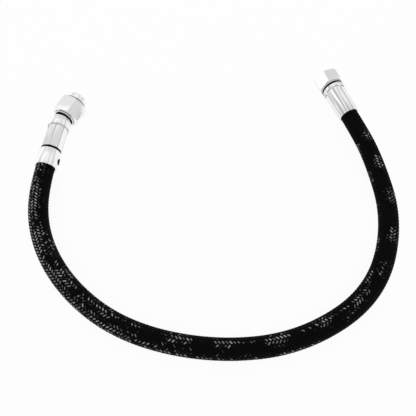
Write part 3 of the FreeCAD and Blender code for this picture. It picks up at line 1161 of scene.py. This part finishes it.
def hexagon(name: str, across_flats: float, start: float, end: float, face_radius: float) -> Piece:
    """Shapes a hexagonal nut blank with turned chamfers at both faces.

    Args:
        name: name of the new object.
        across_flats: distance between opposite flats.
        start: station of its back face.
        end: station of its front face.
        face_radius: radius of the flat part of each face.

    Returns:
        The blank, in local millimetres.
    """
    deselect_all()
    depth, middle = end - start, (start + end) / 2
    corner = across_flats / 2 / math.cos(math.radians(30))
    bpy.ops.mesh.primitive_cylinder_add(vertices=6, radius=corner, depth=depth, location=(0, 0, middle))
    blank = bpy.context.object
    blank.name = name
    bpy.ops.object.transform_apply(location=True, rotation=True, scale=True)
    for vertex in blank.data.vertices:
        angle = math.degrees(math.atan2(vertex.co.y, vertex.co.x))
        snapped = math.radians(30 + 60 * round((angle - 30) / 60))
        vertex.co.x = corner * math.cos(snapped)
        vertex.co.y = corner * math.sin(snapped)
    reach = corner + 1
    drop = (reach - face_radius) * math.tan(math.radians(30))
    envelope = turned(name + "_turning", [
        (face_radius, start), (reach, start + drop), (reach, end - drop), (face_radius, end),
    ], segments=192, closed=False)
    clean(envelope, fill=True)
    cut(blank, envelope, "INTERSECT")
    return blank


def paint_shade(piece: Piece, test: Callable[[Vector, Vector], bool], amount: float = 1.0) -> None:
    """Paints shade into the faces of a metal piece, darkening them where they stand in for shade or a dark
    reflection, such as corners and crimp ridges.

    Args:
        piece: the piece, in local millimetres.
        test: says from a face's middle and normal whether it is painted dark.
        amount: how dark the painted shade is, up to 1.
    """
    attribute = piece.data.attributes.get("paint_shade") or piece.data.attributes.new("paint_shade", "FLOAT", "FACE")
    for polygon, value in zip(piece.data.polygons, attribute.data):
        if test(polygon.center, polygon.normal):
            value.value = amount


def soften(piece: Piece, width: float, segments: int = 2, angle: float = 28) -> None:
    """Rounds the sharp edges of a piece in local millimetres.

    Args:
        piece: the piece.
        width: width of the rounding.
        segments: faces across it.
        angle: edges sharper than this are rounded, in degrees.
    """
    apply_modifier(
        piece, "BEVEL", width=width, segments=segments, limit_method="ANGLE", angle_limit=math.radians(angle),
        use_clamp_overlap=True, miter_outer="MITER_ARC",
    )


def plain_ring(name: str, outer: float, inner: float, start: float, end: float, rounding: float) -> Piece:
    """Turns a ring with rounded edges.

    Args:
        name: name of the ring.
        outer: outer radius.
        inner: inner radius.
        start: first station.
        end: last station.
        rounding: rounding of its edges.

    Returns:
        The ring, in local millimetres.
    """
    ring = turned(name, [(inner, start), (outer, start), (outer, end), (inner, end)])
    soften(ring, rounding, 4)
    return ring


def back_collar(name: str, radius: float, bore: float, start: float, hex_start: float, line: float) -> Piece:
    """Turns the short round collar behind a nut's hexagon, with a line of painted shade in the corner between
    them.

    Args:
        name: name of the collar.
        radius: outer radius.
        bore: radius of its hole.
        start: station of its back face.
        hex_start: station of the hexagon's back face.
        line: width of the painted shade line.

    Returns:
        The collar, in local millimetres.
    """
    inset, proud, edge = 0.4, 0.02, 0.3
    collar = turned(name, [
        (bore, start), (radius - edge, start), (radius - 0.3 * edge, start + 0.3 * edge),
        (radius, start + edge), (radius, hex_start - proud), (radius + line, hex_start - proud),
        (radius + line, hex_start + inset), (bore, hex_start + inset),
    ])
    # Painted shade: the narrow step just behind the hexagon is darkened for the shade in that corner.
    paint_shade(collar, lambda middle, normal: middle.xy.length > radius + 0.01, CORNER_SHADE)
    return collar


@dataclass
class Fitting:
    """A set of pieces turned about one line.

    Attributes:
        finishes: all materials.
        axis: line that the pieces are turned about.
    """

    finishes: Finishes
    axis: Axis

    def add(self, piece: Piece, slot: Slot, body: Body, node: str, smooth_angle: float = 32) -> None:
        """Moves a piece to its place, dresses it and hangs it on its body.

        Args:
            piece: finished piece, in local millimetres.
            slot: slot that it takes its finish from.
            body: body that it rides on.
            node: CAD node that it replaces.
            smooth_angle: edges flatter than this are shaded smooth, in degrees.
        """
        place(piece, self.axis, smooth_angle)
        self.finishes.finish(piece, slot, body, node)


@dataclass
class CrimpedFitting(Fitting):
    """A fitting whose ferrule is crimped by a ring of jaws.

    Attributes:
        jaws: number of jaws.
        first_ridge: angle of the first ridge between two flats, in degrees.
        scoop: scooped edge of each jaw, in millimetres.
        edge_rounding: rounding of the ferrule's sharp edges, in millimetres.
        arc_lean: how far a face of a painted dark arc leans back, as the axial part of its normal.
    """

    jaws: int = 8
    first_ridge: float = 11.25
    scoop: float = 0.35
    edge_rounding: float = 0.07
    arc_lean: float = -0.35

    def crimp(
        self, shell: Piece, tool: Piece, ridges: tuple[float, float], crest: float, arcs: tuple[float, float],
    ) -> None:
        """Presses the jaws into the ferrule, rounds what they leave and paints shade on the ridges and at the
        flats' ends, for the dark that their steep walls reflect.

        Args:
            shell: the ferrule, in local millimetres.
            tool: one jaw at angle 0, used up.
            ridges: first and last station of the painted dark lines along the ridges.
            crest: radius from which a ridge is painted dark, in millimetres.
            arcs: first and last station of the painted dark arcs at the ends of the flats.
        """
        press_jaws(shell, tool, self.jaws, self.first_ridge)
        soften(shell, self.edge_rounding, 2, 24)
        low, high = ridges
        # Painted shade: dark lines on the ridges and dark arcs at the flats' scooped ends stand for the dark
        # that these steep walls reflect.
        paint_shade(shell, lambda middle, normal: low < middle.z < high and middle.xy.length > crest, RIDGE_SHADE)
        start, end = arcs
        paint_shade(shell, lambda middle, normal: start < middle.z < end and normal.z < self.arc_lean, ARC_SHADE)


@dataclass
class SwivelFitting(CrimpedFitting):
    """The fitting with the ball swivel: collar, plug, rings and crimped ferrule.

    Attributes are in millimetres and degrees. Stations run from the collar's mouth.
    """

    axis: Axis = Axis((-129.9716, 20.1210, 10.0), 84.9957)
    collar_length: float = 15.0
    bore: float = 7.2
    mouth_wall: float = 1.1
    end_wall: float = 0.7
    plug_station: float = 7.8
    plug_angle: float = 109.0
    hole_radius: float = 2.3
    plug_radius: float = 2.7
    plug_foot: float = 7.75
    plug_top: float = 8.45
    ring_radius: float = 7.7
    ferrule_start: float = 17.2
    hose_radius: float = 7.0
    crimp_start: float = 19.2
    crimped_radius: float = 6.4
    hose_end: float = 31.8
    shoulder: float = 33.8
    lock_radius: float = 4.6
    ridge_radius: float = 8.0
    flat_apothem: float = 7.45
    cup_step: float = 38.2
    cup_radius: float = 7.0
    band_radius: float = 8.35
    lip_start: float = 45.0
    lip_end: float = 45.7
    lip_radius: float = 6.4
    rim_radius: float = 7.3
    ferrule_end: float = 47.1
    jaw_half_width: float = 2.95
    mouth_edge: float = 0.35
    rim_edge: float = 0.5
    band_slope: float = 0.8
    ridge_drop: float = 0.2

    def build_collar(self) -> None:
        """Turns the collar, drills its round hole and closes it with the plug."""
        mouth = self.bore + self.mouth_wall
        end = self.bore + self.end_wall
        collar = turned("collar_sleeve", [
            (self.bore, 0), (mouth, 0), (end, self.collar_length), (self.bore, self.collar_length),
        ])
        cut(collar, self._radial_bar("collar_drill", self.hole_radius, self.bore - 2, mouth + 2))
        soften(collar, 0.3, 3)
        self.add(collar, Slot.CHROME, Body.HOSE, "collar")
        plug = self._radial_bar("collar_plug", self.plug_radius, self.plug_foot, self.plug_top)
        soften(plug, 0.33, 4)
        self.add(plug, Slot.RUBBER, Body.HOSE, "hole_plug")

    def _radial_bar(self, name: str, radius: float, start: float, end: float) -> Piece:
        """Makes a round bar that points out of the collar at the plug's place.

        Args:
            name: name of the bar.
            radius: its radius.
            start, end: distances of its ends from the axis.

        Returns:
            The bar, in local millimetres.
        """
        deselect_all()
        bpy.ops.mesh.primitive_cylinder_add(vertices=48, radius=radius, depth=end - start)
        bar = bpy.context.object
        bar.name = name
        spin = Matrix.Rotation(math.radians(self.plug_angle), 4, "Z")
        ahead = Matrix.Translation((0, 0, self.plug_station))
        outwards = Matrix.Rotation(math.pi / 2, 4, "Y")
        bar.data.transform(spin @ ahead @ outwards @ Matrix.Translation((0, 0, (start + end) / 2)))
        return bar

    def build_ferrule(self) -> None:
        """Turns the ferrule's shell and presses its eight crimp flats."""
        start, end, corner = self.ferrule_start, self.ferrule_end, 0.3 * self.rim_edge
        shell = turned("crimped_ferrule", [
            (self.hose_radius, start), (self.ridge_radius - self.mouth_edge, start),
            (self.ridge_radius, start + self.mouth_edge), (self.ridge_radius, self.cup_step - self.band_slope),
            (self.band_radius, self.cup_step), (self.band_radius, end - self.rim_edge),
            (self.band_radius - corner, end - corner), (self.band_radius - self.rim_edge, end),
            (self.rim_radius, end), (self.rim_radius, self.lip_end),
            (self.lip_radius, self.lip_end), (self.lip_radius, self.lip_start),
            (self.cup_radius, self.lip_start), (self.cup_radius, self.cup_step),
            (self.crimped_radius, self.cup_step), (self.crimped_radius, self.shoulder),
            (self.lock_radius, self.shoulder), (self.lock_radius, self.hose_end),
            (self.crimped_radius, self.hose_end), (self.crimped_radius, self.crimp_start),
        ], segments=160)
        tool = jaw_tool(self.flat_apothem, self.jaw_half_width, start - 2, self.cup_step, 0, self.scoop)
        ridges = (start + 0.5, self.cup_step - 1.2)
        arcs = (self.cup_step - 4.2, self.cup_step)
        self.crimp(shell, tool, ridges, self.ridge_radius - self.ridge_drop, arcs)
        self.add(shell, Slot.CHROME, Body.HOSE, "swivel_ferrule", 24)

    def build(self) -> None:
        """Makes every piece of the fitting that is fixed to the hose."""
        self.build_collar()
        start, end = self.collar_length, self.ferrule_start
        ring = plain_ring("collar_band", self.ring_radius, self.hose_radius, start, end, 0.3)
        self.add(ring, Slot.RUBBER, Body.HOSE, "collar_ring")
        self.build_ferrule()


@dataclass
class SwivelNut(Fitting):
    """The nut of the swivel, with its nose, thread and soft rings.

    Attributes are in millimetres. Stations run from the ball's centre.
    """

    axis: Axis = Axis((-126.2056, 63.1566, 10.0), 67.9957)
    across_flats: float = 20.0
    face_radius: float = 9.8
    ring_start: float = 4.6
    ring_end: float = 6.7
    ring_radius: float = 5.6
    lip_start: float = 6.3
    lip_radius: float = 7.4
    neck_radius: float = 3.0
    nut_start: float = 6.8
    collar_radius: float = 7.9
    hex_start: float = 7.7
    hex_end: float = 23.4
    nose_start: float = 24.6
    nose_end: float = 30.6
    nose_radius: float = 7.3
    groove_radius: float = 6.0
    shank_end: float = 14.0
    passage_radius: float = 2.2
    port_start: float = 22.0
    thread: Thread = Thread(4.283, 4.864, 0.907, 22.0, 29.8)

    def build(self) -> None:
        """Makes the nut, its thread, the dust ring and the nose ring."""
        nut = hexagon("swivel_hexagon", self.across_flats, self.hex_start, self.hex_end, self.face_radius)
        inside = turned("swivel_nut_bore", [
            (self.neck_radius, self.hex_start - 1), (self.neck_radius, self.shank_end),
            (self.passage_radius, self.shank_end), (self.passage_radius, self.port_start),
            (self.thread.root_radius, self.port_start), (self.thread.root_radius, self.hex_end + 1),
        ], closed=False)
        clean(inside, fill=True)
        cut(nut, inside)
        soften(nut, 0.16, 3, 24)
        nose = turned("swivel_nose", [
            (self.thread.root_radius, self.hex_end - 0.6), (self.groove_radius, self.hex_end - 0.6),
            (self.groove_radius, self.nose_start), (self.nose_radius, self.nose_start),
            (self.nose_radius, self.nose_end - 0.7), (self.nose_radius - 0.7, self.nose_end),
            (self.thread.root_radius + 0.5, self.nose_end), (self.thread.root_radius, self.nose_end - 0.5),
        ])
        soften(nose, 0.12, 3)
        start, end = self.nut_start, self.hex_start
        back = back_collar("swivel_nut_back", self.collar_radius, self.neck_radius, start, end, 0.6)
        nut = join([nut, back, nose, self.thread.build("swivel_thread")])
        self.add(nut, Slot.CHROME, Body.SWIVEL, "swivel_nut", 26)
        outer = self.nose_radius + 1.8
        band = plain_ring("nose_band", outer, self.groove_radius, self.hex_end, self.nose_start, 0.25)
        self.add(band, Slot.RUBBER, Body.SWIVEL, "nose_ring")
        bore, lip_foot = self.neck_radius + 0.05, self.lip_start - 0.2
        dust = turned("dust_seal", [
            (bore, self.ring_start), (self.ring_radius, self.ring_start), (self.ring_radius, lip_foot),
            (self.lip_radius, self.lip_start), (self.lip_radius, self.ring_end), (bore, self.ring_end),
        ])
        soften(dust, 0.12, 3)
        self.add(dust, Slot.RUBBER, Body.RING, "dust_ring")


@dataclass
class UnionFitting(CrimpedFitting):
    """The fitting with the union nut: tapered crimped ferrule, ring and threaded nut.

    Attributes are in millimetres. Stations run from the ferrule's mouth.
    """

    axis: Axis = Axis((116.0979, 72.8509, 9.5), 107.5851)
    bell_radius: float = 7.08
    bell_length: float = 8.2
    hose_radius: float = 7.0
    crimp_start: float = 10.2
    crimped_radius: float = 6.4
    hose_end: float = 26.8
    lock_radius: float = 3.9
    lock_end: float = 28.8
    neck_radius: float = 4.5
    ridge_mouth: float = 7.95
    ridge_end: float = 8.55
    flat_apothem: float = 7.46
    flat_rise: float = 0.6
    flat_end: float = 27.6
    band_radius: float = 9.0
    ferrule_end: float = 31.2
    ring_radius: float = 9.0
    ring_end: float = 32.6
    across_flats: float = 19.0
    face_radius: float = 9.3
    nut_start: float = 32.7
    collar_radius: float = 8.8
    hex_start: float = 33.6
    cavity_start: float = 35.9
    nut_end: float = 45.7
    nut_bore: float = 4.58
    jaw_half_width: float = 2.85
    mouth_edge: float = 0.3
    rim_edge: float = 0.5
    band_slope: float = 1.3
    ridge_drop: float = 0.12
    thread: Thread = Thread(5.72, 6.58, 1.337, 38.9, 45.6)

    def build_ferrule(self) -> None:
        """Turns the tapered shell and presses its eight crimp flats."""
        shell = turned("tapered_ferrule", [
            (self.bell_radius, 0), (self.ridge_mouth - self.mouth_edge, 0), (self.ridge_mouth, self.mouth_edge),
            (self.ridge_end, self.flat_end - self.band_slope), (self.band_radius, self.flat_end),
            (self.band_radius, self.ferrule_end - self.rim_edge),
            (self.band_radius - self.rim_edge, self.ferrule_end),
            (self.neck_radius, self.ferrule_end), (self.neck_radius, self.lock_end),
            (self.lock_radius, self.lock_end), (self.lock_radius, self.hose_end),
            (self.crimped_radius, self.hose_end), (self.crimped_radius, self.crimp_start),
            (self.hose_radius, self.bell_length), (self.bell_radius, self.bell_length),
        ], segments=160)
        tool = jaw_tool(self.flat_apothem, self.jaw_half_width, -1.5, self.flat_end, self.flat_rise, self.scoop)
        ridges, arcs = (1, self.flat_end - 5), (self.flat_end - 4, self.flat_end)
        self.crimp(shell, tool, ridges, self.ridge_mouth - self.ridge_drop, arcs)
        self.add(shell, Slot.CHROME, Body.HOSE, "nut_ferrule", 24)
        self.finishes.draw_lines(shell, self.axis)

    def build_nut(self) -> None:
        """Makes the union nut with its back wall, relief and thread."""
        nut = hexagon("union_hexagon", self.across_flats, self.hex_start, self.nut_end, self.face_radius)
        inside = turned("union_nut_bore", [
            (self.nut_bore, self.nut_start - 1), (self.nut_bore, self.cavity_start),
            (self.thread.root_radius, self.cavity_start), (self.thread.root_radius, self.nut_end - 0.5),
            (self.thread.root_radius + 1.5, self.nut_end + 1.0),
        ], closed=False)
        clean(inside, fill=True)
        cut(nut, inside)
        soften(nut, 0.16, 3, 24)
        start, end = self.nut_start, self.hex_start
        back = back_collar("union_nut_back", self.collar_radius, self.nut_bore, start, end, 0.35)
        nut = join([nut, back, self.thread.build("union_thread_ridge")])
        self.add(nut, Slot.CHROME, Body.UNION, "union_nut", 26)

    def build(self) -> None:
        """Makes every visible piece of the fitting."""
        self.build_ferrule()
        lip = self.ring_radius + 0.1
        ring = turned("ferrule_band", [
            (self.neck_radius, self.ferrule_end), (self.band_radius - 0.47, self.ferrule_end),
            (self.band_radius - 0.2, self.ferrule_end - 0.4), (lip, self.ferrule_end - 0.6),
            (lip, self.ferrule_end + 0.7), (self.ring_radius - 0.35, self.ring_end),
            (self.neck_radius, self.ring_end),
        ])
        soften(ring, 0.1, 3)
        self.add(ring, Slot.RUBBER, Body.HOSE, "ferrule_ring")
        self.build_nut()


@dataclass
class Studio:
    """Camera, pale floor and soft light.

    Attributes are in metres and degrees, and the lens in millimetres. Those of the light are:
        floor_glow: strength of the floor's own white.
        floor_share: share of that white where the camera or a reflection sees the floor.
        sky_lit, sky_seen: strength of the sky for the light, and for the camera.
    """

    camera_place: Place = (-0.0031, -0.1367, 0.2538)
    camera_tilt: float = 26.58
    lens: float = 32.0
    sensor: float = 36.0
    floor_size: float = 6.0
    floor_glow: float = 1.01
    floor_share: float = 0.93
    sky_lit: float = 0.74
    sky_seen: float = 1.0

    def build(self) -> None:
        """Makes all of the studio."""
        self.build_camera()
        self.build_floor()
        self.build_lights()
        bpy.context.scene.view_settings.view_transform = "Standard"

    def build_camera(self) -> None:
        """Sets the camera at the photograph's viewing angle."""
        bpy.ops.object.camera_add(location=self.camera_place, rotation=(math.radians(self.camera_tilt), 0, 0))
        camera = bpy.context.object
        camera.data.lens = self.lens
        camera.data.sensor_width = self.sensor
        camera.data.clip_start = 0.01
        bpy.context.scene.camera = camera

    def build_floor(self) -> None:
        """Lays a white floor that keeps a faint shadow."""
        bpy.ops.mesh.primitive_plane_add(size=self.floor_size)
        floor = bpy.context.object
        floor.name = "studio_floor"
        made, tree, shader = new_material("pale_floor")
        feed(tree, shader, {"Base Color": (0.9, 0.9, 0.9, 1), "Roughness": 0.9, "Specular IOR Level": 0.0})
        white = add_node(tree, "Emission", {"Color": (1, 1, 1, 1), "Strength": self.floor_glow})
        path = add_node(tree, "LightPath").outputs
        seen = calculate(tree, "MAXIMUM", path["Is Camera Ray"], path["Is Glossy Ray"])
        share = calculate(tree, "MULTIPLY", seen, self.floor_share)
        feeds = {"Fac": share, 1: shader.outputs["BSDF"], 2: white.outputs["Emission"]}
        mix = add_node(tree, "MixShader", feeds)
        feed(tree, tree.nodes["Material Output"], {"Surface": mix.outputs["Shader"]})
        floor.data.materials.append(made)

    def build_lights(self) -> None:
        """Hangs soft panels left, right, above and behind, under a pale sky that the camera sees as white."""
        world = bpy.data.worlds.new("pale_studio")
        bpy.context.scene.world = world
        world.use_nodes = True
        tree = world.node_tree
        seen = add_node(tree, "LightPath").outputs["Is Camera Ray"]
        strength = level(tree, seen, 0.0, 1.0, self.sky_lit, self.sky_seen)
        feed(tree, tree.nodes["Background"], {"Color": (1, 1, 1, 1), "Strength": strength})
        self.panel("panel_left", (-0.90, 0.45, 0.16), (-0.1, 0.1, 0.0), 0.8, 0.36, 0.40)
        self.panel("panel_back_left", (-0.55, 0.75, 0.80), (-0.1, 0.1, 0.0), 0.7, 0.7, 0.20)
        self.panel("panel_top", (-0.16, 0.36, 0.60), (-0.16, 0.35, 0.0), 0.74, 0.28, 0.15)
        self.panel("panel_right", (0.50, 0.36, 0.44), (-0.13, 0.03, 0.0), 0.36, 0.36, 0.08)

    @staticmethod
    def panel(name: str, spot: Place, target: Place, width: float, height: float, power: float) -> None:
        """Adds one soft panel.

        Args:
            name: name of the lamp.
            spot: its place.
            target: point that it faces.
            width, height: its sides.
            power: its power in watts.
        """
        bpy.ops.object.light_add(type="AREA", location=spot)
        lamp = bpy.context.object
        lamp.name = name
        lamp.data.shape = "RECTANGLE"
        lamp.data.size = width
        lamp.data.size_y = height
        lamp.data.energy = power
        lamp.rotation_euler = (Vector(target) - Vector(spot)).to_track_quat("-Z", "Y").to_euler()


def dress_inner_nodes(nodes: dict[str, Piece], finishes: Finishes) -> None:
    """Gives the CAD pieces that stay their finish.

    Args:
        nodes: CAD nodes by name.
        finishes: all materials.
    """
    kept = {
        "swivel_stem": Slot.STEEL, "nut_stem": Slot.STEEL, "ball_stud": Slot.CHROME,
        "ball_retainer": Slot.PLASTIC, "ball_seal": Slot.RUBBER, "stem_seal": Slot.RUBBER,
    }
    for name, slot in kept.items():
        finishes.dress(nodes[name], slot)


def main() -> None:
    """Builds the studio, the hose and both fittings in order."""
    logging.basicConfig(level=logging.INFO, format="%(name)s: %(message)s")
    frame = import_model()
    Studio().build()
    route = HoseLine()
    LOG.info("hose of %.1f mm between its cut ends", route.length / MM)
    finishes = Finishes()
    hose = HoseBody(route, finishes).build()
    SwivelFitting(finishes).build()
    SwivelNut(finishes).build()
    UnionFitting(finishes).build()
    dress_inner_nodes(frame["nodes"], finishes)


if __name__ == "__main__":
    main()
